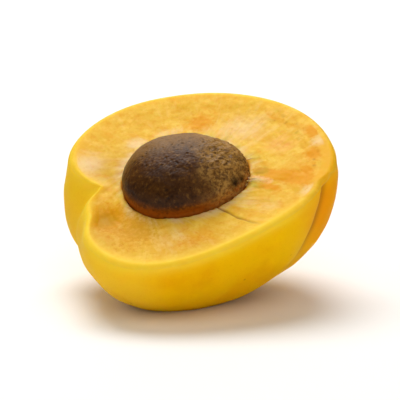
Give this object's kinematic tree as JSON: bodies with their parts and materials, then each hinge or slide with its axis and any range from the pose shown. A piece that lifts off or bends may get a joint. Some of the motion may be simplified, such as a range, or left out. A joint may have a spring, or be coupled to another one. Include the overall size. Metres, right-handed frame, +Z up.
{
  "type": "halved apricot with stone",
  "caption": "Half of a ripe apricot resting on its skin, cut face leaning up and forwards, with its brown stone lying loose in the hollow of the flesh.",
  "frame": {"origin": "on the surface that the fruit rests on, under the middle of the bounding box", "axes": "+X towards the blossom end, +Y away from the side that the cut face leans to, +Z up"},
  "size_m": [0.051, 0.0438, 0.0348],
  "materials": {
    "apricot_flesh": "satin golden-yellow skin round moist, fibrous orange flesh",
    "apricot_stone": "matt dark brown shell, finely pitted, rough and fibrous at its blossom end"
  },
  "bodies": {
    "root": {"fruit_half": "apricot_flesh", "stone": "apricot_stone"}
  },
  "joints": []
}
